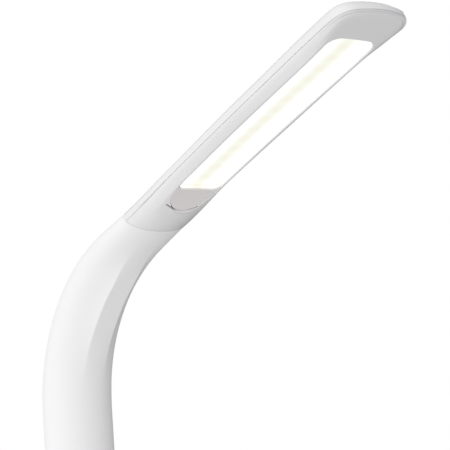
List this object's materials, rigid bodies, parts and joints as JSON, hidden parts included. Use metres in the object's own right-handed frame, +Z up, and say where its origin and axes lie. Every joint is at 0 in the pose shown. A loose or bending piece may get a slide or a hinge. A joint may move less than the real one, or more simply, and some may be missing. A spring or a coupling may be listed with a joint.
{
  "type": "desk lamp",
  "caption": "Desk lamp with a slim flat light head on a thick bendable sleeved neck that stands on a round weighted base with push buttons.",
  "frame": {"origin": "Middle of the anti-slip pad's underside, on the table", "axes": "+Z up, +X from the base's middle towards the light head, the lamp is symmetric about the XZ plane apart from its wires, nuts and circuit parts"},
  "size_m": [0.3513, 0.18, 0.4267],
  "materials": {
    "white_gloss": "high gloss moulded ABS",
    "white_silicone": "matte soft-touch silicone",
    "white_base": "satin moulded ABS",
    "white_matte": "moulded ABS",
    "button_grey": "satin",
    "opal": "lit opal acrylic",
    "black_rubber": "matte",
    "cast_iron": "raw",
    "steel": "zinc plated",
    "cast_aluminium": "die-cast",
    "sheet_aluminium": "mill finish",
    "brass_washer": "satin",
    "green_board": "solder mask",
    "white_board": "white solder mask on aluminium",
    "led_yellow": "phosphor",
    "black_plastic": "moulded",
    "grey_silicone": "translucent silicone",
    "black_wire": "cable jacket"
  },
  "bodies": {
    "base": {"rubber_pad": "black_rubber", "base_plate": "white_matte", "base_weight": "cast_iron", "base_cover": "white_base", "base_screws": "steel", "control_board": "green_board", "board_components": "black_plastic", "tact_switches": "black_plastic", "board_screws": "steel", "keypad": "grey_silicone", "dc_inlet": "black_plastic", "neck_post": "steel", "post_screws": "steel", "neck_collar": "white_base", "sleeve_lower": "white_silicone", "hinge_pin_low": "steel", "hinge_nut_low": "steel", "washers_low": "brass_washer", "wire_post": "black_wire"},
    "power_button": {"power_button": "button_grey"},
    "brighter_button": {"brighter_button": "button_grey"},
    "dimmer_button": {"dimmer_button": "button_grey"},
    "lower_link": {"link_lower": "cast_aluminium", "sleeve_mid": "white_silicone", "hinge_pin_mid": "steel", "hinge_nut_mid": "steel", "washers_mid": "brass_washer", "wire_lower": "black_wire"},
    "upper_link": {"link_upper": "cast_aluminium", "sleeve_upper": "white_silicone", "hinge_pin_top": "steel", "hinge_nut_top": "steel", "washers_top": "brass_washer", "wire_upper": "black_wire"},
    "light_head": {"head_bracket": "cast_aluminium", "bracket_screws": "steel", "head_lower_housing": "white_gloss", "head_top_cover": "white_gloss", "half_moon_plate": "white_gloss", "diffuser": "opal", "led_board": "white_board", "leds": "led_yellow", "heat_spreader": "sheet_aluminium", "led_screws": "steel", "wire_head": "black_wire"}
  },
  "joints": [
    {"name": "neck_low", "type": "hinge", "parent": "base", "child": "lower_link", "pos_m": [-0.0559, 0, 0.10461], "axis": [0, 1, 0], "range_deg": [-12, 15], "deforming": ["sleeve_lower"]},
    {"name": "neck_mid", "type": "hinge", "parent": "lower_link", "child": "upper_link", "pos_m": [-0.05083, 0, 0.19936], "axis": [0, 1, 0], "range_deg": [-25, 25], "deforming": ["sleeve_mid"]},
    {"name": "neck_top", "type": "hinge", "parent": "upper_link", "child": "light_head", "pos_m": [-0.01106, 0, 0.25607], "axis": [0, 1, 0], "range_deg": [-30, 28], "deforming": ["sleeve_upper"]},
    {"name": "power_button_press", "type": "slide", "parent": "base", "child": "power_button", "axis": [0, 0, -1], "range_m": [0, 0.001], "stiffness_N_per_m": 900, "springref_m": -0.0008, "deforming": ["keypad"]},
    {"name": "brighter_button_press", "type": "slide", "parent": "base", "child": "brighter_button", "axis": [0, 0, -1], "range_m": [0, 0.001], "stiffness_N_per_m": 900, "springref_m": -0.0008},
    {"name": "dimmer_button_press", "type": "slide", "parent": "base", "child": "dimmer_button", "axis": [0, 0, -1], "range_m": [0, 0.001], "stiffness_N_per_m": 900, "springref_m": -0.0008}
  ]
}
